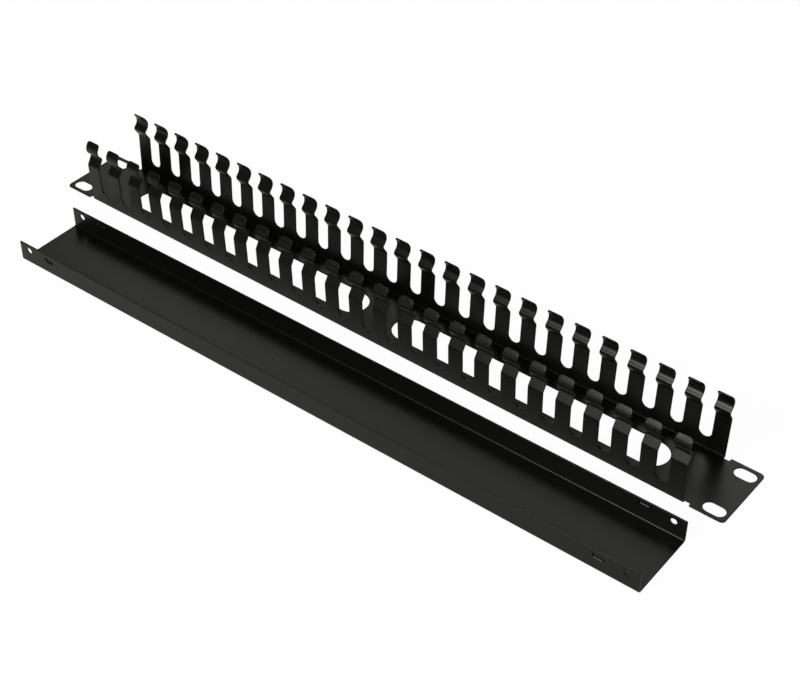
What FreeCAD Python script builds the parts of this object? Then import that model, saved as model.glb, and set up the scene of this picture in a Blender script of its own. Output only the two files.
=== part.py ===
# Horizontal cable manager, 1U, for a 19-inch rack: a finger duct bent from one
# sheet, and its channel cover, taken off and lying beside it.
#
# Frame: X along the rack's width, Y from the lower finger row to the upper one,
# Z along the fingers. The duct's rear face, which meets the rack, is z = 0.

import FreeCAD, Part
import Sketcher
import math
import os

doc = FreeCAD.newDocument("CableManager")

# ---------------------------------------------------------------- dimensions
sizes = [
    # rack panel
    ("panelLength", 482.6, "width of a 19-inch rack panel"),
    ("panelWidth", 44.0, "height of a 1U panel"),
    ("sheet", 0.9, "duct sheet thickness"),
    ("earCorner", 2.8, "radius of the panel's outer corners"),
    ("rackInset", 8.75, "rack slot centre, in from the panel's end"),
    ("rackSpacingY", 31.75, "rack slots, top to bottom"),
    ("rackSlotLength", 12.8, "rack slot, end to end"),
    ("rackSlotWidth", 7.6, "rack slot, across"),
    # relief notch at each end of a fold
    ("notchSpare", 0.45, "notch, how far it reaches past the fold's curve"),
    ("notchWidth", 3.4, "notch, along the panel"),
    ("notchCorner", 0.8, "notch and ear corner radius"),
    # folded row of fingers
    ("earLength", 24.0, "flat ear, from the end of the fold to the panel's end"),
    ("foldInset", 0.25, "fold's outer face inside the panel's edge"),
    ("foldRadius", 0.6, "inside radius of the fold"),
    ("bladeLean", 2.15, "degrees that a finger leans outwards"),
    ("slotCount", 24, "slots between fingers in a row"),
    ("slotWidth", 7.9, "slot between two fingers"),
    ("slotBottom", 7.9, "lowest point of a slot"),
    ("tipCut", 1.4, "bevel across each corner of a finger's tip"),
    # crimped head of a finger, heights from the rear face
    ("bandHeight", 26.9, "where the finger turns inwards"),
    ("bandTilt", 30.5, "degrees inwards, up to the catch groove"),
    ("grooveHeight", 33.15, "bottom of the catch groove"),
    ("catchTilt", 43.6, "degrees outwards, up to the bulge"),
    ("bulgeHeight", 37.4, "outermost point of the finger"),
    ("tipTilt", 26.5, "degrees inwards, up to the tip"),
    ("fingerHeight", 43.9, "top of the tip"),
    ("crimpRadius", 1.6, "outside radius of the catch's crimps, pressed sharp inside"),
    # openings in the panel
    ("windowInset", 46.0, "far end of a cable opening, in from the panel's end"),
    ("windowWidth", 20.1, "cable opening, across"),
    ("windowGap", 22.4, "web between the two openings"),
    # cover
    ("coverEnd", 22.6, "cover's end short of the panel's end"),
    ("coverSpare", 0.5, "cover wider than the panel"),
    ("coverDepth", 14.15, "height of a flange, outside"),
    ("coverSheet", 0.9, "cover sheet thickness"),
    ("coverBend", 1.0, "inside radius of the cover's bends"),
    ("flangeCorner", 0.6, "radius of a flange's free corners"),
    ("holeSize", 3.8, "hole near each end of a flange"),
    ("holeInset", 7.6, "hole centre, in from the cover's end"),
    ("holeHeight", 9.9, "hole centre, up from the cover's face"),
    ("dimpleLength", 8.0, "catch dimple, along the flange"),
    ("dimpleHeight", 3.6, "catch dimple, across"),
    ("dimpleDepth", 0.8, "catch dimple, how far it stands in"),
    ("dimpleInset", 24.4, "dimple centre, in from the cover's end"),
    ("dimpleLift", 10.1, "dimple centre, up from the cover's face"),
    # where the cover lies
    ("coverX", 13.7, "cover centre along the duct"),
    ("coverY", -68.15, "cover centre in front of the duct"),
    ("coverYaw", 0.58, "degrees that the cover lies turned"),
]

worked_out = [
    ("rackSpacingX", "=panelLength - 2 * rackInset", "rack slots, side to side: 465.1"),
    ("notchDepth", "=foldInset + foldRadius + sheet + notchSpare", "notch, in from the edge"),
    ("rowLength", "=panelLength - 2 * earLength", "length of a fold and its row"),
    ("fingerPitch", "=(rowLength + slotWidth) / (slotCount + 1)", "finger to finger"),
    ("windowLength", "=(panelLength - windowGap) / 2 - windowInset", "cable opening"),
    ("coverLength", "=panelLength - 2 * coverEnd", "cover, end to end"),
    ("coverWidth", "=panelWidth + coverSpare", "cover, outside its flanges"),
]

sheet = doc.addObject("Spreadsheet::Sheet", "dims")
for row, (alias, content, note) in enumerate(sizes + worked_out, start=1):
    sheet.set("A%d" % row, alias)
    sheet.set("B%d" % row, str(content))
    sheet.set("C%d" % row, note)
    sheet.setAlias("B%d" % row, alias)
doc.recompute()
value = {alias: float(sheet.get(alias)) for alias, content, note in sizes + worked_out}

overcut = 2.0  # how far a cutting sketch reaches past what it cuts


# ------------------------------------------------------------------- helpers
def new_body(name, label):
    body = doc.addObject("PartDesign::Body", name)
    body.Label = label
    return body


def origin_plane(body, role):
    return [f for f in body.Origin.OriginFeatures if f.Role == role][0]


def new_sketch(body, name, role, lift=None):
    """Sketch on an origin plane; lift is an expression for its offset along the normal."""
    sketch = body.newObject("Sketcher::SketchObject", name)
    sketch.AttachmentSupport = [(origin_plane(body, role), "")]
    sketch.MapMode = "FlatFace"
    if lift:
        sketch.setExpression("AttachmentOffset.Base.z", lift)
    return sketch


def bind(sketch, name, constraint, expression):
    """Add a dimension, name it and drive it from the sheet."""
    index = sketch.addConstraint(constraint)
    sketch.renameConstraint(index, name)
    sketch.setExpression("Constraints." + name, expression)
    return index


def polygon(sketch, points):
    """Closed chain of lines through rough points; upright and level lines stay so."""
    first = sketch.GeometryCount
    count = len(points)
    for i in range(count):
        (xa, ya), (xb, yb) = points[i], points[(i + 1) % count]
        sketch.addGeometry(
            Part.LineSegment(FreeCAD.Vector(xa, ya, 0), FreeCAD.Vector(xb, yb, 0))
        )
    for i in range(count):
        (xa, ya), (xb, yb) = points[i], points[(i + 1) % count]
        sketch.addConstraint(
            Sketcher.Constraint("Coincident", first + i, 2, first + (i + 1) % count, 1)
        )
        if abs(xa - xb) < 1e-6:
            sketch.addConstraint(Sketcher.Constraint("Vertical", first + i))
        elif abs(ya - yb) < 1e-6:
            sketch.addConstraint(Sketcher.Constraint("Horizontal", first + i))
    return first


def obround(sketch, name, x, y, length, width, centre_x, centre_y, long_by, wide_by):
    """Round-ended slot along X; the last four are the expressions that drive it."""
    radius = width / 2.0
    half = length / 2.0 - radius
    up = FreeCAD.Vector(0, 0, 1)
    left = FreeCAD.Vector(x - half, y, 0)
    right = FreeCAD.Vector(x + half, y, 0)
    quarter = math.pi / 2
    a = sketch.addGeometry(
        Part.ArcOfCircle(Part.Circle(left, up, radius), quarter, 3 * quarter)
    )
    b = sketch.addGeometry(
        Part.ArcOfCircle(Part.Circle(right, up, radius), -quarter, quarter)
    )
    low = sketch.addGeometry(
        Part.LineSegment(left - FreeCAD.Vector(0, radius, 0), right - FreeCAD.Vector(0, radius, 0))
    )
    top = sketch.addGeometry(
        Part.LineSegment(right + FreeCAD.Vector(0, radius, 0), left + FreeCAD.Vector(0, radius, 0))
    )
    for one, end, other, start in ((a, 2, low, 1), (low, 2, b, 1), (b, 2, top, 1), (top, 2, a, 1)):
        sketch.addConstraint(Sketcher.Constraint("Tangent", one, end, other, start))
    sketch.addConstraint(Sketcher.Constraint("Horizontal", low))
    sketch.addConstraint(Sketcher.Constraint("Equal", a, b))
    bind(sketch, name + "Radius", Sketcher.Constraint("Radius", a, radius), wide_by + " / 2")
    bind(
        sketch,
        name + "Left",
        Sketcher.Constraint("DistanceX", -1, 1, a, 3, x - half),
        "%s - (%s - %s) / 2" % (centre_x, long_by, wide_by),
    )
    bind(
        sketch,
        name + "Right",
        Sketcher.Constraint("DistanceX", -1, 1, b, 3, x + half),
        "%s + (%s - %s) / 2" % (centre_x, long_by, wide_by),
    )
    bind(sketch, name + "Y", Sketcher.Constraint("DistanceY", -1, 1, a, 3, y), centre_y)


def pad(body, name, sketch, length, both_sides=False, back=False):
    feature = body.newObject("PartDesign::Pad", name)
    feature.Profile = sketch
    feature.setExpression("Length", length)
    feature.Midplane = both_sides
    feature.Reversed = back
    sketch.Visibility = False
    return feature


def cut_through(body, name, sketch):
    """Pocket through the whole body, to both sides of the sketch."""
    feature = body.newObject("PartDesign::Pocket", name)
    feature.Profile = sketch
    feature.Type = 1
    feature.Midplane = True
    sketch.Visibility = False
    return feature


def mirror(body, name, features, role):
    feature = body.newObject("PartDesign::Mirrored", name)
    feature.Originals = features
    feature.MirrorPlane = (origin_plane(body, role), [""])
    body.Tip = feature
    doc.recompute()
    return feature


def mirror_twice(body, name, feature):
    """Copy one feature to all four quarters of the body."""
    both = body.newObject("PartDesign::MultiTransform", name)
    both.Originals = [feature]
    parts = []
    for role in ("XZ_Plane", "YZ_Plane"):
        step = doc.addObject("PartDesign::Mirrored", name + role[:2])
        body.addObject(step)
        step.MirrorPlane = (origin_plane(body, role), [""])
        parts.append(step)
    both.Transformations = parts
    body.Tip = both
    doc.recompute()
    return both


def fillet(body, name, radius, wanted):
    """Round the straight edges of the body that wanted(start, end) picks."""
    doc.recompute()
    base = body.Tip
    names = []
    for i, edge in enumerate(base.Shape.Edges, start=1):
        if isinstance(edge.Curve, Part.Line):
            start, end = (v.Point for v in edge.Vertexes)
            if wanted(start, end):
                names.append("Edge%d" % i)
    if not names:
        raise RuntimeError("no edge for " + name)
    feature = body.newObject("PartDesign::Fillet", name)
    feature.Base = (base, names)
    feature.setExpression("Radius", radius)
    body.Tip = feature
    doc.recompute()
    return feature


def near(a, b):
    return abs(a - b) < 1e-3


# --------------------------------------------------------------- finger duct
duct = new_body("FingerDuct", "finger_duct")

# Cross-section of one half: web, upright blade and the crimped head. The outer
# face runs web - fold - blade - groove - bulge - tip, the inner one comes back.
section = new_sketch(duct, "DuctSection", "YZ_Plane")
t = value["sheet"]
fold_y = value["panelWidth"] / 2 - value["foldInset"]
tilts = [-value["bladeLean"], value["bandTilt"], -value["catchTilt"], value["tipTilt"]]
heights = [value["bandHeight"], value["grooveHeight"], value["bulgeHeight"], value["fingerHeight"]]
outer = [(0.0, 0.0), (fold_y, 0.0)]
for tilt, height in zip(tilts, heights):
    y, z = outer[-1]
    outer.append((y - (height - z) * math.tan(math.radians(tilt)), height))
inner = []
directions = [(1.0, 0.0)] + [(-math.sin(math.radians(a)), math.cos(math.radians(a))) for a in tilts]
for i in range(1, 5):  # where two inner faces meet, t inside the outer corner
    (ay, az), (by, bz) = directions[i - 1], directions[i]
    turn = ay * bz - az * by
    along = t * (1 - (ay * by + az * bz)) / turn
    inner.append((outer[i][0] - az * t - ay * along, outer[i][1] + ay * t - az * along))
last = directions[-1]
inner.append((outer[5][0] - last[1] * t, outer[5][1] + last[0] * t))
polygon(section, outer + inner[::-1] + [(0.0, t)])

# lines 0-4 are the outer face, 5 the tip's end, 6-10 the inner face, 11 the middle
section.addConstraint(Sketcher.Constraint("Coincident", 0, 1, -1, 1))
bind(
    section,
    "foldPlace",
    Sketcher.Constraint("DistanceX", -1, 1, 1, 1, fold_y),
    "dims.panelWidth / 2 - dims.foldInset",
)
faces = [
    ("blade", "bladeLean", "bandHeight", 1),
    ("band", "bandTilt", "grooveHeight", -1),
    ("catch", "catchTilt", "bulgeHeight", 1),
    ("tip", "tipTilt", "fingerHeight", -1),
]
for line, (name, tilt, height, side) in enumerate(faces, start=1):
    slope = math.radians(90 - side * value[tilt])
    bind(
        section,
        name + "Slope",
        Sketcher.Constraint("Angle", line, slope),
        "90 deg %s dims.%s * 1 deg" % ("-" if side > 0 else "+", tilt),
    )
    bind(
        section,
        name + "Top",
        Sketcher.Constraint("DistanceY", -1, 1, line, 2, value[height]),
        "dims." + height,
    )
section.addConstraint(Sketcher.Constraint("Perpendicular", 4, 5))
bind(section, "tipSheet", Sketcher.Constraint("Distance", 5, 1, 5, 2, t), "dims.sheet")
for line in (1, 2, 3, 4):
    back = 10 - line
    section.addConstraint(Sketcher.Constraint("Parallel", line, back))
    if line < 4:
        bind(
            section,
            "sheet%d" % line,
            Sketcher.Constraint("Distance", back, 2, line, t),
            "dims.sheet",
        )
bind(section, "webSheet", Sketcher.Constraint("DistanceY", 11, 2, 11, 1, t), "dims.sheet")
doc.recompute()

half_duct = pad(duct, "HalfDuct", section, "dims.rowLength", both_sides=True)
mirror(duct, "WholeDuct", [half_duct], "XZ_Plane")

# Bends: the fold is round on both faces, the catch's two crimps on the outside of each,
# and the slight turn below them is a plain crease.
corners = [
    (section.Geometry[i].StartPoint, section.Geometry[11 - i].StartPoint) for i in (1, 2, 3, 4)
]
fold, _, groove, bulge = corners  # each one's point on the outer and inner face


def at(points):
    """Picks edges along X that pass through one of the section's points, either half."""
    return lambda a, b: near(a.y, b.y) and near(a.z, b.z) and any(
        near(abs(a.y), p.x) and near(a.z, p.y) for p in points
    )


fillet(duct, "FoldOutside", "dims.foldRadius + dims.sheet", at([fold[0]]))
fillet(duct, "FoldInside", "dims.foldRadius", at([fold[1]]))
fillet(duct, "Crimps", "dims.crimpRadius", at([groove[1], bulge[0]]))

# Ears: the flat panel past each end of the folds, with a notch on each side.
ear = new_sketch(duct, "EarOutline", "XY_Plane")
lap = 1.0  # how far the ear's neck runs into the duct's web
half_row = value["rowLength"] / 2
xs = (half_row - lap, half_row + value["notchWidth"], value["panelLength"] / 2)
ys = (value["panelWidth"] / 2 - value["notchDepth"], value["panelWidth"] / 2)
polygon(
    ear,
    [
        (xs[0], -ys[0]),
        (xs[1], -ys[0]),
        (xs[1], -ys[1]),
        (xs[2], -ys[1]),
        (xs[2], ys[1]),
        (xs[1], ys[1]),
        (xs[1], ys[0]),
        (xs[0], ys[0]),
    ],
)
ear.addConstraint(Sketcher.Constraint("Equal", 2, 4))
bind(
    ear,
    "panelEnd",
    Sketcher.Constraint("DistanceX", -1, 1, 3, 1, xs[2]),
    "dims.panelLength / 2",
)
bind(ear, "panelWide", Sketcher.Constraint("DistanceY", 3, 1, 3, 2, 2 * ys[1]), "dims.panelWidth")
bind(ear, "panelTop", Sketcher.Constraint("DistanceY", -1, 1, 3, 2, ys[1]), "dims.panelWidth / 2")
bind(
    ear,
    "notchEnd",
    Sketcher.Constraint("DistanceX", -1, 1, 1, 1, xs[1]),
    "dims.rowLength / 2 + dims.notchWidth",
)
bind(
    ear,
    "neckStart",
    Sketcher.Constraint("DistanceX", -1, 1, 0, 1, xs[0]),
    "dims.rowLength / 2 - %g" % lap,
)
bind(
    ear,
    "neckWide",
    Sketcher.Constraint("DistanceY", 7, 2, 7, 1, 2 * ys[0]),
    "dims.panelWidth - 2 * dims.notchDepth",
)
bind(
    ear,
    "neckTop",
    Sketcher.Constraint("DistanceY", -1, 1, 7, 1, ys[0]),
    "dims.panelWidth / 2 - dims.notchDepth",
)
ear_pad = pad(duct, "Ear", ear, "dims.sheet")
mirror(duct, "Ears", [ear_pad], "YZ_Plane")


def upright_at(x_set, y_set):
    """Picks edges along Z at one of the given distances from the middle."""
    return lambda a, b: near(a.x, b.x) and near(a.y, b.y) and any(
        near(abs(a.x), x) for x in x_set
    ) and any(near(abs(a.y), y) for y in y_set)


fillet(duct, "EarCorners", "dims.earCorner", upright_at(xs[2:], ys[1:]))
fillet(duct, "NotchCorners", "dims.notchCorner", upright_at(xs[1:2], ys))

# Rack slots in the ears
rack = new_sketch(duct, "RackSlot", "XY_Plane")
obround(
    rack,
    "slot",
    value["rackSpacingX"] / 2,
    value["rackSpacingY"] / 2,
    value["rackSlotLength"],
    value["rackSlotWidth"],
    "dims.rackSpacingX / 2",
    "dims.rackSpacingY / 2",
    "dims.rackSlotLength",
    "dims.rackSlotWidth",
)
mirror_twice(duct, "RackSlots", cut_through(duct, "RackSlotCut", rack))

# Two long cable openings in the panel, either side of the middle web
window = new_sketch(duct, "CableOpening", "XY_Plane")
obround(
    window,
    "opening",
    (value["windowGap"] + value["windowLength"]) / 2,
    0.0,
    value["windowLength"],
    value["windowWidth"],
    "(dims.windowGap + dims.windowLength) / 2",
    "0 mm",
    "dims.windowLength",
    "dims.windowWidth",
)
mirror(duct, "CableOpenings", [cut_through(duct, "CableOpeningCut", window)], "YZ_Plane")

# Slot between two fingers: round bottom, and a mouth that bevels both tips
slot = new_sketch(duct, "FingerSlot", "XZ_Plane")
radius = value["slotWidth"] / 2
cut = value["tipCut"]
top = value["fingerHeight"]
x0 = -(value["slotCount"] - 1) * value["fingerPitch"] / 2
floor_z = value["slotBottom"] + radius
wide = radius + cut + overcut
normal = FreeCAD.Vector(0, 0, 1)


def slot_line(xa, za, xb, zb):
    return slot.addGeometry(
        Part.LineSegment(FreeCAD.Vector(xa, za, 0), FreeCAD.Vector(xb, zb, 0))
    )


bottom = slot.addGeometry(
    Part.ArcOfCircle(
        Part.Circle(FreeCAD.Vector(x0, floor_z, 0), normal, radius), math.pi, 2 * math.pi
    )
)
right_side = slot_line(x0 + radius, floor_z, x0 + radius, top - cut)
right_bevel = slot_line(x0 + radius, top - cut, x0 + wide, top + overcut)
lid = slot_line(x0 + wide, top + overcut, x0 - wide, top + overcut)
left_bevel = slot_line(x0 - wide, top + overcut, x0 - radius, top - cut)
left_side = slot_line(x0 - radius, top - cut, x0 - radius, floor_z)
ring = (bottom, right_side, right_bevel, lid, left_bevel, left_side)
for one, other in zip(ring, ring[1:] + ring[:1]):
    round_end = bottom in (one, other)
    kind = "Tangent" if round_end else "Coincident"
    slot.addConstraint(Sketcher.Constraint(kind, one, 2, other, 1))
slot.addConstraint(Sketcher.Constraint("Vertical", right_side))
slot.addConstraint(Sketcher.Constraint("Vertical", left_side))
slot.addConstraint(Sketcher.Constraint("Horizontal", lid))
slot.addConstraint(Sketcher.Constraint("Equal", left_bevel, right_bevel))
slot.addConstraint(Sketcher.Constraint("Perpendicular", left_bevel, right_bevel))
bind(slot, "slotHalf", Sketcher.Constraint("Radius", bottom, radius), "dims.slotWidth / 2")
bind(
    slot,
    "firstSlot",
    Sketcher.Constraint("DistanceX", bottom, 3, -1, 1, -x0),
    "(dims.slotCount - 1) * dims.fingerPitch / 2",
)
bind(
    slot,
    "slotFloor",
    Sketcher.Constraint("DistanceY", -1, 1, bottom, 3, floor_z),
    "dims.slotBottom + dims.slotWidth / 2",
)
bind(
    slot,
    "bevelStart",
    Sketcher.Constraint("DistanceY", -1, 1, right_side, 2, top - cut),
    "dims.fingerHeight - dims.tipCut",
)
bind(
    slot,
    "lidHeight",
    Sketcher.Constraint("DistanceY", -1, 1, lid, 1, top + overcut),
    "dims.fingerHeight + %g" % overcut,
)
slot_cut = cut_through(duct, "FingerSlotCut", slot)
duct.Tip = slot_cut
doc.recompute()
row = duct.newObject("PartDesign::LinearPattern", "FingerSlots")
row.Originals = [slot_cut]
row.Direction = (slot, ["H_Axis"])
duct.Tip = row
row.setExpression("Length", "(dims.slotCount - 1) * dims.fingerPitch")
row.setExpression("Occurrences", "dims.slotCount")
doc.recompute()

# Outer tip corner of the first and last fingers: a triangle past the same bevel
end_corner = new_sketch(duct, "EndCorner", "XZ_Plane")
leg = cut + 2 * overcut
far_x, far_z = half_row + overcut, top + overcut
polygon(end_corner, [(far_x, far_z - leg), (far_x, far_z), (far_x - leg, far_z)])
end_corner.addConstraint(Sketcher.Constraint("Equal", 0, 1))
bind(
    end_corner,
    "past",
    Sketcher.Constraint("DistanceX", -1, 1, 0, 2, far_x),
    "dims.rowLength / 2 + %g" % overcut,
)
bind(
    end_corner,
    "above",
    Sketcher.Constraint("DistanceY", -1, 1, 0, 2, far_z),
    "dims.fingerHeight + %g" % overcut,
)
bind(
    end_corner,
    "leg",
    Sketcher.Constraint("DistanceY", 0, 1, 0, 2, leg),
    "dims.tipCut + %g" % (2 * overcut),
)
mirror(duct, "EndCorners", [cut_through(duct, "EndCornerCut", end_corner)], "YZ_Plane")

# --------------------------------------------------------------------- cover
cover = new_body("Cover", "cover")

half = value["coverWidth"] / 2
deep = value["coverDepth"]
wall = value["coverSheet"]
channel = new_sketch(cover, "ChannelSection", "YZ_Plane")
polygon(
    channel,
    [
        (-half, 0.0),
        (half, 0.0),
        (half, deep),
        (half - wall, deep),
        (half - wall, wall),
        (-half + wall, wall),
        (-half + wall, deep),
        (-half, deep),
    ],
)
channel.addConstraint(Sketcher.Constraint("Symmetric", 0, 1, 0, 2, -1, 1))
channel.addConstraint(Sketcher.Constraint("Equal", 2, 6))
channel.addConstraint(Sketcher.Constraint("Equal", 1, 7))
bind(channel, "wide", Sketcher.Constraint("DistanceX", 0, 1, 0, 2, 2 * half), "dims.coverWidth")
bind(channel, "deep", Sketcher.Constraint("DistanceY", 1, 1, 1, 2, deep), "dims.coverDepth")
bind(channel, "flange", Sketcher.Constraint("DistanceX", 2, 2, 2, 1, wall), "dims.coverSheet")
bind(channel, "web", Sketcher.Constraint("DistanceY", -1, 1, 4, 1, wall), "dims.coverSheet")
pad(cover, "Channel", channel, "dims.coverLength", both_sides=True)
doc.recompute()


def along_x(y, z):
    """Picks edges along X at a distance y from the middle and a height z."""
    return lambda a, b: near(a.y, b.y) and near(a.z, b.z) and near(abs(a.y), y) and near(a.z, z)


fillet(cover, "BendOutside", "dims.coverBend + dims.coverSheet", along_x(half, 0.0))
fillet(cover, "BendInside", "dims.coverBend", along_x(half - wall, wall))
fillet(
    cover,
    "FlangeCorners",
    "dims.flangeCorner",
    lambda a, b: near(a.x, b.x)
    and near(abs(a.x), value["coverLength"] / 2)
    and near(a.z, deep)
    and near(b.z, deep),
)

# A round hole near each end of both flanges
hole = new_sketch(cover, "FlangeHole", "XZ_Plane")
hole_x = value["coverLength"] / 2 - value["holeInset"]
hole.addGeometry(
    Part.Circle(FreeCAD.Vector(hole_x, value["holeHeight"], 0), normal, value["holeSize"] / 2)
)
bind(hole, "size", Sketcher.Constraint("Diameter", 0, value["holeSize"]), "dims.holeSize")
bind(
    hole,
    "inset",
    Sketcher.Constraint("DistanceX", -1, 1, 0, 3, hole_x),
    "dims.coverLength / 2 - dims.holeInset",
)
bind(
    hole,
    "lift",
    Sketcher.Constraint("DistanceY", -1, 1, 0, 3, value["holeHeight"]),
    "dims.holeHeight",
)
mirror(cover, "FlangeHoles", [cut_through(cover, "FlangeHoleCut", hole)], "YZ_Plane")

# Catch dimples: the sheet is pressed inwards, so each has a boss and a recess.
dimple_x = value["coverLength"] / 2 - value["dimpleInset"]


def dimple_sketch(name, lift, grow):
    sketch = new_sketch(cover, name, "XZ_Plane", lift)
    obround(
        sketch,
        "dimple",
        dimple_x,
        value["dimpleLift"],
        value["dimpleLength"] + grow,
        value["dimpleHeight"] + grow,
        "(dims.coverLength / 2 - dims.dimpleInset)",
        "dims.dimpleLift",
        "(dims.dimpleLength + %g)" % grow,
        "(dims.dimpleHeight + %g)" % grow,
    )
    return sketch


boss = dimple_sketch("DimpleBoss", "dims.coverWidth / 2 - dims.coverSheet", 0.0)
boss_pad = pad(cover, "DimpleBossPad", boss, "dims.dimpleDepth", back=True)
mirror_twice(cover, "DimpleBosses", boss_pad)
shear = 0.2  # the recess is a little smaller than the boss, so the walls stay joined
recess = dimple_sketch("DimpleRecess", "dims.coverWidth / 2", -2 * shear)
recess_cut = cover.newObject("PartDesign::Pocket", "DimpleRecessCut")
recess_cut.Profile = recess
recess_cut.setExpression("Length", "dims.dimpleDepth")
recess.Visibility = False
mirror_twice(cover, "DimpleRecesses", recess_cut)

# The cover lies on its face beside the duct, flanges up, a little askew.
cover.setExpression("Placement.Base.x", "dims.coverX")
cover.setExpression("Placement.Base.y", "dims.coverY")
cover.Placement.Rotation = FreeCAD.Rotation(FreeCAD.Vector(0, 0, 1), value["coverYaw"])
cover.setExpression("Placement.Rotation.Angle", "dims.coverYaw * 1 deg")
doc.recompute()

# -------------------------------------------------------------------- export
for item in doc.Objects:
    if "Invalid" in item.State or "Error" in item.State:
        raise RuntimeError("%s did not rebuild: %s" % (item.Name, item.State))

os.makedirs("parts", exist_ok=True)
for body in (duct, cover):
    shape = body.Shape
    if not shape.isValid() or len(shape.Solids) != 1:
        raise RuntimeError("%s is not one valid solid" % body.Label)
    print("%s: %.1f cm3" % (body.Label, shape.Volume / 1000.0), shape.BoundBox)
    shape.exportStep("parts/%s.step" % body.Label)
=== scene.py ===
import math

import bmesh
import bpy
from mathutils import Matrix, Vector


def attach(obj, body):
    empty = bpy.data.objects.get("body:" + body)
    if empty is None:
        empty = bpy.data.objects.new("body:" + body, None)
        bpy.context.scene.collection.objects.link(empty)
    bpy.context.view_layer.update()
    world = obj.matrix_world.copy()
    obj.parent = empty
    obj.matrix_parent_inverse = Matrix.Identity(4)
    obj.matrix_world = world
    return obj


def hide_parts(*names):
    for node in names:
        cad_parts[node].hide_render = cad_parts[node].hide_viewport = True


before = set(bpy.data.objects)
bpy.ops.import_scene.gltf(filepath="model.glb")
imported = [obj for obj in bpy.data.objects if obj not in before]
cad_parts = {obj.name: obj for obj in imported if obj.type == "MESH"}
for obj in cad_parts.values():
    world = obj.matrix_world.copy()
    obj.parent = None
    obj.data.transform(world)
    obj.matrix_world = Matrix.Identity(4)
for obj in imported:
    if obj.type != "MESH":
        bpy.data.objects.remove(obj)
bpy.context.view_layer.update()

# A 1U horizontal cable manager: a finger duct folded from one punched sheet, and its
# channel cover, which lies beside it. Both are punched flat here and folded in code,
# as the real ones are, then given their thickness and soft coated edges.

mm = 0.001
print("frame loaded:", sorted(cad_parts))


# small helpers

def newObject(name, mesh):
    obj = bpy.data.objects.new(name, mesh)
    bpy.context.scene.collection.objects.link(obj)
    return obj


def linear(hexColour):
    # sRGB hex to the linear numbers that a shader takes
    channels = [int(hexColour[i:i + 2], 16) / 255 for i in (1, 3, 5)]
    return [c / 12.92 if c <= 0.04045 else ((c + 0.055) / 1.055) ** 2.4 for c in channels] + [1.0]


def addNode(tree, kind, links=None, **settings):
    # a node with its settings; "in_Name" or "in_3" sets an input, links feeds inputs from outputs
    node = tree.nodes.new(kind)
    for key, setting in settings.items():
        if key.startswith("in_"):
            slot = key[3:]
            node.inputs[int(slot) if slot.isdigit() else slot].default_value = setting
        else:
            setattr(node, key, setting)
    for slot, source in (links or {}).items():
        tree.links.new(source, node.inputs[slot])
    return node


def bakedMesh(obj, name):
    # what the modifiers give, as a plain mesh
    depsgraph = bpy.context.evaluated_depsgraph_get()
    mesh = bpy.data.meshes.new_from_object(obj.evaluated_get(depsgraph))
    mesh.name = name
    return mesh


# Black powder coat on steel: near-black polyester melted on in an oven. It is semi-matt,
# so what the eye sees on it is mostly the room's reflection, broken up by a fine
# orange peel, and a few pale specks of dust lie on the faces that look up.

powderCoat = {
    "colour": "#0A0A08",
    "dustColour": "#8F8E86",
    "roughness": 0.31,
    "roughnessSpread": 0.03,
    "ior": 1.5,
    "specular": 0.165,  # under the usual 0.5, which greys this black in plain light
    "peelSize": 1.1 * mm,  # across one swell of the orange peel
    "peelBump": 0.010 * mm,
    "peelDetail": 2.0,
    "grainSize": 0.45 * mm,  # the powder's own grain, drawn twice as coarse so that it shows
    "grainBump": 0.006 * mm,
    "grainDetail": 1.0,
    "grainRange": (0.3, 0.7),  # where nearly all of the grain's noise lies
    "noiseRoughness": 0.5,
    "dustSpacing": 7.0 * mm,
    "dustSize": 0.16 * mm,
    "dustFade": 1.6,  # a speck has faded out at this many times its size
    "dustShare": 0.16,  # share of the dust cells that hold a speck
    "dustUpward": 0.4,  # dust lies where the normal's z is above this
}


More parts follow.
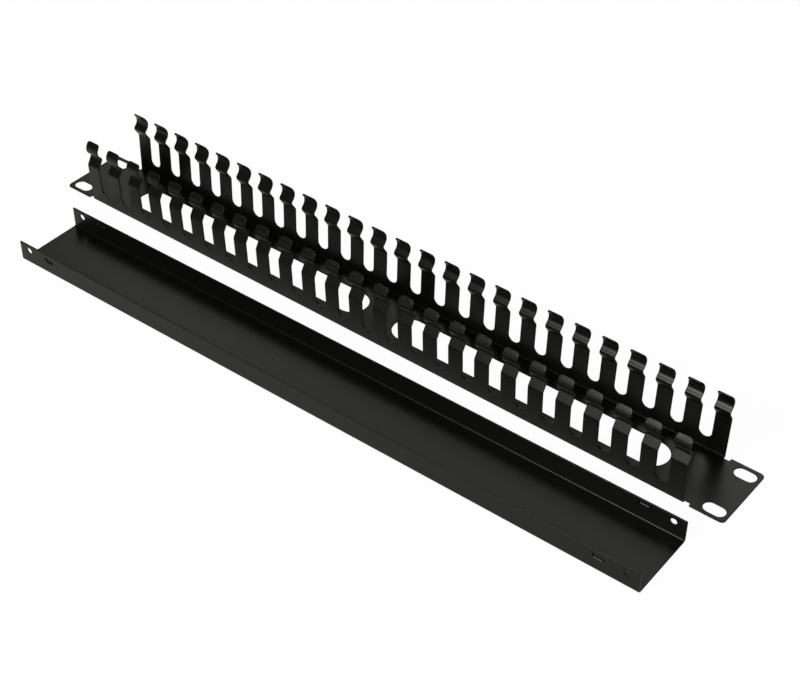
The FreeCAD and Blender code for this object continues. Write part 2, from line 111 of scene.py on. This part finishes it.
def makePowderCoat(name):
    coat = powderCoat
    material = bpy.data.materials.new(name)
    material.use_nodes = True
    tree = material.node_tree
    tree.nodes.clear()
    place = addNode(tree, "ShaderNodeTexCoord").outputs["Object"]

    peel = addNode(tree, "ShaderNodeTexNoise", {"Vector": place},
                   in_Scale=1 / coat["peelSize"], in_Detail=coat["peelDetail"],
                   in_Roughness=coat["noiseRoughness"])
    grain = addNode(tree, "ShaderNodeTexNoise", {"Vector": place},
                    in_Scale=1 / coat["grainSize"], in_Detail=coat["grainDetail"],
                    in_Roughness=coat["noiseRoughness"])
    peelBump = addNode(tree, "ShaderNodeBump", {"Height": peel.outputs["Fac"]},
                       in_Strength=1.0, in_Distance=coat["peelBump"])
    grainBump = addNode(tree, "ShaderNodeBump",
                        {"Height": grain.outputs["Fac"], "Normal": peelBump.outputs["Normal"]},
                        in_Strength=1.0, in_Distance=coat["grainBump"])

    # roughness wanders a little with the grain
    low, high = coat["grainRange"]
    rough = addNode(tree, "ShaderNodeMapRange", {"Value": grain.outputs["Fac"]},
                    in_1=low, in_2=high,
                    in_3=coat["roughness"] - coat["roughnessSpread"],
                    in_4=coat["roughness"] + coat["roughnessSpread"])

    # dust: a speck in some cells of a Voronoi pattern, only where the face looks up
    cells = addNode(tree, "ShaderNodeTexVoronoi", {"Vector": place},
                    in_Scale=1 / coat["dustSpacing"], in_Randomness=1.0)
    speckSize = coat["dustSize"] / coat["dustSpacing"]
    near = addNode(tree, "ShaderNodeMapRange", {"Value": cells.outputs["Distance"]},
                   in_1=speckSize, in_2=coat["dustFade"] * speckSize, in_3=1.0, in_4=0.0)
    lot = addNode(tree, "ShaderNodeSeparateColor", {"Color": cells.outputs["Color"]})
    chosen = addNode(tree, "ShaderNodeMath", {0: lot.outputs["Red"]},
                     operation="LESS_THAN", in_1=coat["dustShare"])
    facing = addNode(tree, "ShaderNodeSeparateXYZ",
                     {"Vector": addNode(tree, "ShaderNodeNewGeometry").outputs["Normal"]})
    up = addNode(tree, "ShaderNodeMath", {0: facing.outputs["Z"]},
                 operation="GREATER_THAN", in_1=coat["dustUpward"])
    speck = addNode(tree, "ShaderNodeMath", {0: near.outputs["Result"], 1: chosen.outputs[0]},
                    operation="MULTIPLY")
    dust = addNode(tree, "ShaderNodeMath", {0: speck.outputs[0], 1: up.outputs[0]},
                   operation="MULTIPLY")
    # a Mix node's inputs 6 and 7 are its two colours
    colour = addNode(tree, "ShaderNodeMix", {"Factor": dust.outputs[0]}, data_type="RGBA",
                     in_6=linear(coat["colour"]), in_7=linear(coat["dustColour"]))

    shader = addNode(tree, "ShaderNodeBsdfPrincipled",
                     {"Base Color": colour.outputs[2], "Roughness": rough.outputs["Result"],
                      "Normal": grainBump.outputs["Normal"]}, in_IOR=coat["ior"])
    shader.inputs["Specular IOR Level"].default_value = coat["specular"]
    addNode(tree, "ShaderNodeOutputMaterial", {"Surface": shader.outputs["BSDF"]})
    return material


coatMaterial = makePowderCoat("black powder coat on steel")
print("material made")


# Folding: a sheet's middle surface is straight runs joined by arcs. A point of the flat
# blank has x along the bend lines and s across them, from the middle of the web. Both
# halves fold alike, so one path serves for s and for -s.

tiny = 1e-7  # metres; points nearer than this are the same point


def foldPath(corners, radii):
    # corners are (y, z); gives the runs of the middle surface, each starting at its own s
    runs = []
    s = 0.0
    start = Vector(corners[0])
    for i in range(1, len(corners)):
        corner = Vector(corners[i])
        ahead = (corner - Vector(corners[i - 1])).normalized()
        if i == len(corners) - 1:
            runs.append({"s": s, "start": start, "way": ahead, "turn": 0.0, "radius": 0.0})
            s += (corner - start).length
            break
        after = (Vector(corners[i + 1]) - corner).normalized()
        turn = math.atan2(ahead.x * after.y - ahead.y * after.x, ahead.dot(after))
        setback = radii[i - 1] * math.tan(abs(turn) / 2)
        runs.append({"s": s, "start": start, "way": ahead, "turn": 0.0, "radius": 0.0})
        s += (corner - ahead * setback - start).length
        start = corner - ahead * setback
        runs.append({"s": s, "start": start, "way": ahead, "turn": turn, "radius": radii[i - 1]})
        s += radii[i - 1] * abs(turn)
        start = corner + after * setback
    return runs, s


def folded(runs, s):
    # place and upward normal of the sheet's middle at s, as (y, z) pairs
    run = [r for r in runs if r["s"] <= s + tiny / 100][-1]
    way = run["way"]
    side = Vector((-way.y, way.x))
    along = s - run["s"]
    if not run["turn"]:
        return run["start"] + way * along, side
    sign = math.copysign(1.0, run["turn"])
    angle = along / run["radius"]
    centre = run["start"] + side * sign * run["radius"]
    normal = side * math.cos(angle) - way * sign * math.sin(angle)
    return centre - normal * sign * run["radius"], normal


def bendLines(runs, total, step):
    # every s at which the blank is creased: both ends of each arc and the steps between
    lines = []
    for run, end in zip(runs, [r["s"] for r in runs[1:]] + [total]):
        if run["turn"]:
            count = max(2, math.ceil(math.degrees(abs(run["turn"])) / step))
            lines += [run["s"] + (end - run["s"]) * i / count for i in range(count + 1)]
    return lines


def arc(centreX, centreS, radius, fromDegrees, toDegrees, count):
    points = []
    for i in range(count + 1):
        a = math.radians(fromDegrees + (toDegrees - fromDegrees) * i / count)
        points.append((centreX + radius * math.cos(a), centreS + radius * math.sin(a)))
    return points


def obround(centreX, centreS, length, width, count):
    radius = width / 2
    reach = length / 2 - radius
    return (arc(centreX + reach, centreS, radius, -90, 90, count)
            + arc(centreX - reach, centreS, radius, 90, 270, count))


def addLoop(blank, points):
    verts = [blank.verts.new((x, s, 0.0)) for x, s in points]
    return [blank.edges.new((verts[i - 1], verts[i])) for i in range(len(verts))]


def crease(blank, lines):
    for s in lines:
        blank.verts.ensure_lookup_table()
        bmesh.ops.bisect_plane(blank, geom=blank.verts[:] + blank.edges[:] + blank.faces[:],
                               dist=tiny, plane_co=(0, s, 0), plane_no=(0, 1, 0))


def foldBlank(blank, runs):
    # the blank's z is the height over the sheet's middle
    for vert in blank.verts:
        middle, normal = folded(runs, abs(vert.co.y))
        side = math.copysign(1.0, vert.co.y)
        y, z = middle + normal * vert.co.z
        vert.co = (vert.co.x, side * y, z)


def blankObject(name, blank):
    for face in blank.faces:
        face.smooth = True
    mesh = bpy.data.meshes.new(name)
    blank.to_mesh(mesh)
    blank.free()
    return newObject(name, mesh)


sheetFinish = {
    "edgeSegments": 2,
    "edgeAngle": 50,  # degrees; sharper corners than this are rounded, bend facets are not
    "faceWeight": 50,  # shading follows the large faces more than the small ones
}


def thicken(obj, thickness, edge):
    solidify = obj.modifiers.new("sheet", "SOLIDIFY")
    solidify.thickness = thickness
    solidify.offset = 0.0
    solidify.use_even_offset = True
    bevel = obj.modifiers.new("coated edge", "BEVEL")
    bevel.width = edge
    bevel.segments = sheetFinish["edgeSegments"]
    bevel.limit_method = "ANGLE"
    bevel.angle_limit = math.radians(sheetFinish["edgeAngle"])
    bevel.use_clamp_overlap = False
    flat = obj.modifiers.new("flat faces stay flat", "WEIGHTED_NORMAL")
    flat.weight = sheetFinish["faceWeight"]


# Finger duct: the web with its ears, and two rows of crimped spring fingers

duct = {
    "panelLength": 482.6 * mm,
    "panelWidth": 44.0 * mm,
    "sheet": 0.9 * mm,
    "coatedEdge": 0.28 * mm,  # radius that the coat gives to a cut edge
    "earCorner": 2.8 * mm,
    "earLength": 24.0 * mm,  # from the end of a row of fingers to the end of the panel
    "rackInset": 8.75 * mm,  # from the panel's end to the middle of its rack slots
    "rackSpacing": 31.75 * mm,
    "rackSlot": (12.8 * mm, 7.6 * mm),
    "notchWidth": 3.4 * mm,
    "notchSpare": 0.45 * mm,  # how far the notch reaches past the bend
    "notchCorner": 0.8 * mm,
    "foldInset": 0.25 * mm,  # from the ear's edge in to the fingers' outer faces
    "foldRadius": 0.6 * mm,  # of the inner face
    "slotCount": 24,
    "slotWidth": 7.9 * mm,
    "slotBottom": 7.9 * mm,  # height of a slot's lowest point
    "tipCorner": 2.0 * mm,
    "tilts": (-2.0, 31.8, -44.9, 32.1),  # degrees inwards: blade, band, catch, tip
    "heights": (27.2 * mm, 32.95 * mm, 37.65 * mm, 43.9 * mm),  # where each of them ends
    "bandRadius": 2.0 * mm,  # this and the next two are radii of the sheet's middle
    "grooveRadius": 1.8 * mm,
    "bulgeRadius": 5.0 * mm,
    "windowInset": 46.0 * mm,  # from the panel's end
    "windowWidth": 20.1 * mm,
    "windowGap": 22.4 * mm,  # web left between the two windows
    "bendStep": 5,  # degrees between creases
    "weld": 0.01 * mm,  # fingers and panel meet within this
    # straight steps in each cut curve
    "slotSteps": 12,
    "tipSteps": 8,
    "notchSteps": 6,
    "earSteps": 10,
    "windowSteps": 28,
    "rackSlotSteps": 18,
}


def ductRuns():
    # the middle surface of one half, from the web's middle out to a finger's tip
    t = duct["sheet"]
    outer = [Vector((0, 0)), Vector((duct["panelWidth"] / 2 - duct["foldInset"], 0))]
    for tilt, height in zip(duct["tilts"], duct["heights"]):
        y, z = outer[-1]
        outer.append(Vector((y - (height - z) * math.tan(math.radians(tilt)), height)))
    ways = [(b - a).normalized() for a, b in zip(outer, outer[1:])]
    middle = [Vector((0, t / 2))]
    for i in range(1, len(outer) - 1):
        before = Vector((-ways[i - 1].y, ways[i - 1].x))
        after = Vector((-ways[i].y, ways[i].x))
        middle.append(outer[i] + (before + after) * (t / 2) / (1 + before.dot(after)))
    last = ways[-1]
    middle.append(outer[-1] + Vector((-last.y, last.x)) * t / 2)
    radii = [duct["foldRadius"] + t / 2, duct["bandRadius"], duct["grooveRadius"],
             duct["bulgeRadius"]]
    return foldPath(middle, radii)


def sAtHeight(runs, total, height):
    # by halving, since the height only grows from the web to the tip
    halvings = 50
    low, high = 0.0, total
    for _ in range(halvings):
        s = (low + high) / 2
        low, high = (s, high) if folded(runs, s)[0].y < height else (low, s)
    return low


def fingerBlank(name, runs, total, foldStart, pitch, last):
    # one finger with half a slot on each side, or on one side only for the row's last finger
    r = duct["slotWidth"] / 2
    tip = duct["tipCorner"]
    floor = sAtHeight(runs, total, duct["slotBottom"])
    half = pitch / 2
    fingerHalf = half - r
    right = [(half, foldStart)] + arc(half, floor + r, r, -90, -180, duct["slotSteps"])
    right += arc(fingerHalf - tip, total - tip, tip, 0, 90, duct["tipSteps"])
    if last:
        left = arc(-fingerHalf + tip, total - tip, tip, 90, 180, duct["tipSteps"])
        left.append((-fingerHalf, foldStart))
    else:
        left = [(-x, s) for x, s in reversed(right)]
    blank = bmesh.new()
    blank.faces.new([blank.verts.new((x, s, 0)) for x, s in right + left])
    lines = bendLines(runs, total, duct["bendStep"])
    crease(blank, [s for s in lines if s > foldStart + tiny])
    bmesh.ops.triangulate(blank, faces=[f for f in blank.faces if len(f.verts) > 4])
    foldBlank(blank, runs)
    return blankObject(name, blank)


def panelBlank(name, foldStart, pitch):
    # the flat web between the two folds, and the notched ears past their ends
    rowEnd = duct["panelLength"] / 2 - duct["earLength"]
    notchDepth = duct["foldInset"] + duct["foldRadius"] + duct["sheet"] + duct["notchSpare"]
    neck = duct["panelWidth"] / 2 - notchDepth
    edge = duct["panelWidth"] / 2
    end = duct["panelLength"] / 2
    ear = rowEnd + duct["notchWidth"]
    small, large = duct["notchCorner"], duct["earCorner"]
    corner = [(rowEnd, foldStart), (rowEnd, neck)]
    corner += arc(ear - small, neck + small, small, -90, 0, duct["notchSteps"])
    corner += arc(ear + small, edge - small, small, 180, 90, duct["notchSteps"])
    corner += arc(end - large, edge - large, large, 90, 0, duct["earSteps"])
    count = duct["slotCount"]
    seams = [(i - (count - 1) / 2) * pitch for i in range(count)]
    quarter = [(x, -s) for x, s in corner]
    outline = quarter + corner[::-1] + [(x, foldStart) for x in reversed(seams)]
    outline += [(-x, s) for x, s in corner] + [(-x, s) for x, s in reversed(quarter)]
    outline += [(x, -foldStart) for x in seams]

    blank = bmesh.new()
    edges = addLoop(blank, outline)
    windowLength = (duct["panelLength"] - duct["windowGap"]) / 2 - duct["windowInset"]
    windowX = (duct["windowGap"] + windowLength) / 2
    rackX = duct["panelLength"] / 2 - duct["rackInset"]
    for side in (-1, 1):
        window = obround(side * windowX, 0, windowLength, duct["windowWidth"],
                         duct["windowSteps"])
        edges += addLoop(blank, window)
        for row in (-1, 1):
            slot = obround(side * rackX, row * duct["rackSpacing"] / 2, *duct["rackSlot"],
                           duct["rackSlotSteps"])
            edges += addLoop(blank, slot)
    bmesh.ops.triangle_fill(blank, edges=edges, use_beauty=True, normal=(0, 0, 1))
    for face in blank.faces:
        if face.normal.z < 0:
            face.normal_flip()
    for vert in blank.verts:
        vert.co.z = duct["sheet"] / 2
    return blankObject(name, blank)


def addInput(tree, name, kind, value=None):
    socket = tree.interface.new_socket(name=name, in_out="INPUT", socket_type=kind)
    if value is not None:
        socket.default_value = value
    return socket.identifier


def rowTree(material):
    # sets both rows of fingers on the panel: inner fingers at the pitch, one at each end
    tree = bpy.data.node_groups.new("rows of fingers", "GeometryNodeTree")
    tree.interface.new_socket(name="Geometry", in_out="OUTPUT", socket_type="NodeSocketGeometry")
    names = {"panel": addInput(tree, "Panel", "NodeSocketGeometry")}
    names["inner"] = addInput(tree, "Inner finger", "NodeSocketObject")
    names["end"] = addInput(tree, "End finger", "NodeSocketObject")
    names["slots"] = addInput(tree, "Slots", "NodeSocketInt", duct["slotCount"])
    names["pitch"] = addInput(tree, "Pitch", "NodeSocketFloat", 17.7 * mm)
    given = addNode(tree, "NodeGroupInput").outputs

    fingers = addNode(tree, "ShaderNodeMath", {0: given["Slots"]}, operation="SUBTRACT", in_1=1)
    span = addNode(tree, "ShaderNodeMath", {0: given["Slots"], 1: given["Pitch"]},
                   operation="MULTIPLY")
    endX = addNode(tree, "ShaderNodeMath", {0: span.outputs[0]}, operation="MULTIPLY", in_1=-0.5)
    firstX = addNode(tree, "ShaderNodeMath", {0: endX.outputs[0], 1: given["Pitch"]},
                     operation="ADD")
    step = addNode(tree, "ShaderNodeCombineXYZ", {"X": given["Pitch"]})
    first = addNode(tree, "ShaderNodeCombineXYZ", {"X": firstX.outputs[0]})
    line = addNode(tree, "GeometryNodeMeshLine",
                   {"Count": fingers.outputs[0], "Start Location": first.outputs[0],
                    "Offset": step.outputs[0]}, mode="OFFSET")
    inner = addNode(tree, "GeometryNodeObjectInfo", {"Object": given["Inner finger"]})
    end = addNode(tree, "GeometryNodeObjectInfo", {"Object": given["End finger"]})
    placed = addNode(tree, "GeometryNodeInstanceOnPoints",
                     {"Points": line.outputs[0], "Instance": inner.outputs["Geometry"]})
    leftX = addNode(tree, "ShaderNodeCombineXYZ", {"X": endX.outputs[0]})
    leftEnd = addNode(tree, "GeometryNodeTransform",
                      {"Geometry": end.outputs["Geometry"], "Translation": leftX.outputs[0]})
    rightEnd = addNode(tree, "GeometryNodeTransform", {"Geometry": leftEnd.outputs[0]},
                       in_Scale=(-1, 1, 1))
    rightOut = addNode(tree, "GeometryNodeFlipFaces", {0: rightEnd.outputs[0]})
    row = addNode(tree, "GeometryNodeJoinGeometry")
    for part in (placed.outputs[0], leftEnd.outputs[0], rightOut.outputs[0]):
        tree.links.new(part, row.inputs[0])
    solidRow = addNode(tree, "GeometryNodeRealizeInstances", {0: row.outputs[0]})
    mirrored = addNode(tree, "GeometryNodeTransform", {"Geometry": solidRow.outputs[0]},
                       in_Scale=(1, -1, 1))
    mirroredOut = addNode(tree, "GeometryNodeFlipFaces", {0: mirrored.outputs[0]})
    whole = addNode(tree, "GeometryNodeJoinGeometry")
    for part in (given["Panel"], solidRow.outputs[0], mirroredOut.outputs[0]):
        tree.links.new(part, whole.inputs[0])
    welded = addNode(tree, "GeometryNodeMergeByDistance", {0: whole.outputs[0]},
                     in_Distance=duct["weld"])
    real = addNode(tree, "GeometryNodeRealizeInstances", {0: welded.outputs[0]})
    coated = addNode(tree, "GeometryNodeSetMaterial", {0: real.outputs[0]}, in_Material=material)
    addNode(tree, "NodeGroupOutput", {0: coated.outputs[0]})
    return tree, names


def makeDuct():
    runs, total = ductRuns()
    foldStart = runs[1]["s"]
    rowLength = duct["panelLength"] - 2 * duct["earLength"]
    pitch = (rowLength + duct["slotWidth"]) / (duct["slotCount"] + 1)
    inner = fingerBlank("innerFinger", runs, total, foldStart, pitch, False)
    end = fingerBlank("endFinger", runs, total, foldStart, pitch, True)
    source = panelBlank("panel", foldStart, pitch)

    tree, names = rowTree(coatMaterial)
    rows = source.modifiers.new("rows", "NODES")
    rows.node_group = tree
    rows[names["inner"]] = inner
    rows[names["end"]] = end
    rows[names["slots"]] = duct["slotCount"]
    rows[names["pitch"]] = pitch
    sheet = newObject("fingerDuctSheet", bakedMesh(source, "fingerDuctSheet"))
    thicken(sheet, duct["sheet"], duct["coatedEdge"])
    piece = newObject("fingerDuct", bakedMesh(sheet, "fingerDuct"))
    for helper in (inner, end, source, sheet):
        bpy.data.objects.remove(helper)
    return piece


fingerDuct = makeDuct()
print("finger duct:", len(fingerDuct.data.polygons), "faces")


# Channel cover: a shallow trough with a hole and a catch dimple near each flange's ends

cover = {
    "length": 437.4 * mm,
    "width": 44.5 * mm,
    "depth": 14.15 * mm,
    "sheet": 0.9 * mm,
    "coatedEdge": 0.28 * mm,
    "bendRadius": 1.0 * mm,
    "flangeCorner": 0.6 * mm,
    "holeSize": 3.8 * mm,
    "holeInset": 7.6 * mm,
    "holeHeight": 9.9 * mm,
    "dimple": (8.0 * mm, 3.6 * mm),
    "dimpleDepth": 0.8 * mm,
    "dimpleInset": 24.4 * mm,
    "dimpleHeight": 10.1 * mm,
    "dimpleSkirt": 0.25 * mm,  # its soft foot reaches this far outside its size
    # its section: mm in from the foot, share of the depth
    "dimpleRings": ((0.0, 0.0), (0.12, 0.06), (0.3, 0.3), (0.5, 0.7), (0.68, 0.94), (0.85, 1.0)),
    "bendStep": 5,  # degrees between creases
    # straight steps in each cut curve
    "cornerSteps": 5,
    "holeSteps": 32,
    "dimpleSteps": 10,
    "place": (13.7 * mm, -68.15 * mm),  # in front of the duct, where it lies
    "turned": 0.58,  # degrees
}


def makeCover():
    t = cover["sheet"]
    half = cover["width"] / 2 - t / 2
    runs, total = foldPath([(0, t / 2), (half, t / 2), (half, cover["depth"])],
                           [cover["bendRadius"] + t / 2])
    end = cover["length"] / 2
    corner = cover["flangeCorner"]
    quarter = arc(end - corner, total - corner, corner, 0, 90, cover["cornerSteps"])
    topHalf = quarter + [(-x, s) for x, s in reversed(quarter)]
    blank = bmesh.new()
    edges = addLoop(blank, topHalf + [(-x, -s) for x, s in topHalf])

    dimpleLoops = []
    for side in (-1, 1):
        for row in (-1, 1):
            holeS = row * (total - (cover["depth"] - cover["holeHeight"]))
            holeX = side * (end - cover["holeInset"])
            steps = cover["holeSteps"]
            hole = arc(holeX, holeS, cover["holeSize"] / 2, 0, 360 - 360 / steps, steps - 1)
            edges += addLoop(blank, hole)
            dimpleX = side * (end - cover["dimpleInset"])
            dimpleS = row * (total - (cover["depth"] - cover["dimpleHeight"]))
            length, width = cover["dimple"]
            loops = []
            for inward, deep in cover["dimpleRings"]:
                shrink = 2 * (inward * mm - cover["dimpleSkirt"])
                ring = obround(dimpleX, dimpleS, length - shrink, width - shrink,
                               cover["dimpleSteps"])
                loops.append([(x, s, deep * cover["dimpleDepth"]) for x, s in ring])
            edges += addLoop(blank, [(x, s) for x, s, deep in loops[0]])
            dimpleLoops.append(loops)
    bmesh.ops.triangle_fill(blank, edges=edges, use_beauty=True, normal=(0, 0, 1))
    for loops in dimpleLoops:
        rings = [[blank.verts.new(point) for point in loop] for loop in loops]
        for lower, upper in zip(rings, rings[1:]):
            for i in range(len(lower)):
                blank.faces.new((lower[i - 1], lower[i], upper[i], upper[i - 1]))
        blank.faces.new(rings[-1])
    bmesh.ops.remove_doubles(blank, verts=blank.verts[:], dist=tiny)
    lines = bendLines(runs, total, cover["bendStep"])
    crease(blank, lines + [-s for s in lines])
    bmesh.ops.recalc_face_normals(blank, faces=blank.faces[:])
    if sum(f.normal.z * f.calc_area() for f in blank.faces) < 0:
        bmesh.ops.reverse_faces(blank, faces=blank.faces[:])
    foldBlank(blank, runs)
    turn = Matrix.Translation((*cover["place"], 0)) @ Matrix.Rotation(
        math.radians(cover["turned"]), 4, "Z")
    blank.transform(turn)
    sheet = blankObject("coverSheet", blank)
    sheet.data.materials.append(coatMaterial)
    thicken(sheet, t, cover["coatedEdge"])
    piece = newObject("channelCover", bakedMesh(sheet, "channelCover"))
    bpy.data.objects.remove(sheet)
    return piece


channelCover = makeCover()
print("cover:", len(channelCover.data.polygons), "faces")

for piece, node in ((fingerDuct, "finger_duct"), (channelCover, "cover")):
    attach(piece, "root")
    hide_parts(node)
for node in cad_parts.values():  # the hidden solids wear the same coat
    node.data.materials.clear()
    node.data.materials.append(coatMaterial)


# Studio: a white table, a white world behind it, and three soft lamps

studio = {
    "tableSize": 12.0,  # metres
    "tableColour": "#F6F6F4",
    "tableDrop": 0.05 * mm,  # the table lies this far under the object
    "mirrorShare": 0.25,  # plain white that mirrors show; the rest keeps the shadow
    "glowShare": 0.97,  # the rest of the table's look is its shaded cloth, with the shadow
    "worldLevel": 0.04,  # what lights the object from all round; the camera sees 1
    "lampColour": "#FFFFF5",  # a touch warm
    "lamps": (
        # name, place, aim, size across and up (metres), turned (degrees), radiance
        ("behindLeft", (-0.30, 0.80, 0.84), (0, 0, 0), (1.65, 0.76), 0, 1.65),
        ("leftOfCamera", (-0.04, -0.90, 0.65), (0, 0, 0.03), (0.44, 0.40), 30, 25.0),
        ("behind", (-0.02, 0.83, 0.76), (0, 0, 0), (0.5, 0.5), 0, 0.9),
    ),
}


def seenDirectly(tree):
    # share of the plain white: for the camera, and for what mirrors and glass show
    path = addNode(tree, "ShaderNodeLightPath").outputs
    mirrors = addNode(tree, "ShaderNodeMath",
                      {0: path["Is Glossy Ray"], 1: path["Is Transmission Ray"]},
                      operation="MAXIMUM")
    inMirror = addNode(tree, "ShaderNodeMath", {0: mirrors.outputs[0]}, operation="MULTIPLY",
                       in_1=studio["mirrorShare"])
    direct = addNode(tree, "ShaderNodeMath", {0: path["Is Camera Ray"]}, operation="MULTIPLY",
                     in_1=studio["glowShare"])
    return addNode(tree, "ShaderNodeMath", {0: inMirror.outputs[0], 1: direct.outputs[0]},
                   operation="MAXIMUM").outputs[0]


def makeTable():
    material = bpy.data.materials.new("white table")
    material.use_nodes = True
    tree = material.node_tree
    tree.nodes.clear()
    matt = addNode(tree, "ShaderNodeBsdfDiffuse", in_Color=linear(studio["tableColour"]))
    glow = addNode(tree, "ShaderNodeEmission", in_Color=(1, 1, 1, 1), in_Strength=1.0)
    mix = addNode(tree, "ShaderNodeMixShader",
                  {0: seenDirectly(tree), 1: matt.outputs[0], 2: glow.outputs[0]})
    addNode(tree, "ShaderNodeOutputMaterial", {"Surface": mix.outputs[0]})
    mesh = bpy.data.meshes.new("table")
    half = studio["tableSize"] / 2
    corners = [(-half, -half), (half, -half), (half, half), (-half, half)]
    mesh.from_pydata([(x, y, -studio["tableDrop"]) for x, y in corners], [], [(0, 1, 2, 3)])
    mesh.materials.append(material)
    return newObject("table", mesh)


def makeWorld():
    world = bpy.data.worlds.new("studio")
    bpy.context.scene.world = world
    world.use_nodes = True
    tree = world.node_tree
    tree.nodes.clear()
    path = addNode(tree, "ShaderNodeLightPath").outputs
    level = addNode(tree, "ShaderNodeMapRange", {"Value": path["Is Camera Ray"]},
                    in_3=studio["worldLevel"], in_4=1.0)
    sky = addNode(tree, "ShaderNodeBackground", {"Strength": level.outputs["Result"]},
                  in_Color=(1, 1, 1, 1))
    addNode(tree, "ShaderNodeOutputWorld", {"Surface": sky.outputs[0]})


def aimed(place, target, turned):
    view = Vector(target) - Vector(place)
    matrix = view.to_track_quat("-Z", "Y").to_matrix().to_4x4()
    return Matrix.Translation(place) @ matrix @ Matrix.Rotation(math.radians(turned), 4, "Z")


def makeLamp(name, place, target, size, turned, radiance):
    lamp = bpy.data.lights.new(name, "AREA")
    lamp.shape = "RECTANGLE"
    lamp.size, lamp.size_y = size
    lamp.color = linear(studio["lampColour"])[:3]
    lamp.energy = radiance * math.pi * size[0] * size[1]  # watts for that radiance
    obj = newObject(name, lamp)
    obj.matrix_world = aimed(place, target, turned)


makeTable()
makeWorld()
for lampSettings in studio["lamps"]:
    makeLamp(*lampSettings)

camera = {
    "place": (478.19 * mm, -583.55 * mm, 614.58 * mm),
    "turn": (49.675, 0.013, 38.459),  # degrees
    "lens": 75.03,  # mm
    "sensorWidth": 36.0,  # mm
    "clipStart": 10 * mm,
}


def makeCamera():
    data = bpy.data.cameras.new("camera")
    data.lens = camera["lens"]
    data.sensor_width = camera["sensorWidth"]
    data.clip_start = camera["clipStart"]
    obj = newObject("camera", data)
    obj.location = camera["place"]
    obj.rotation_euler = [math.radians(a) for a in camera["turn"]]
    bpy.context.scene.camera = obj


makeCamera()
bpy.context.scene.view_settings.view_transform = "Standard"
print("studio and camera set")

bpy.context.view_layer.update()
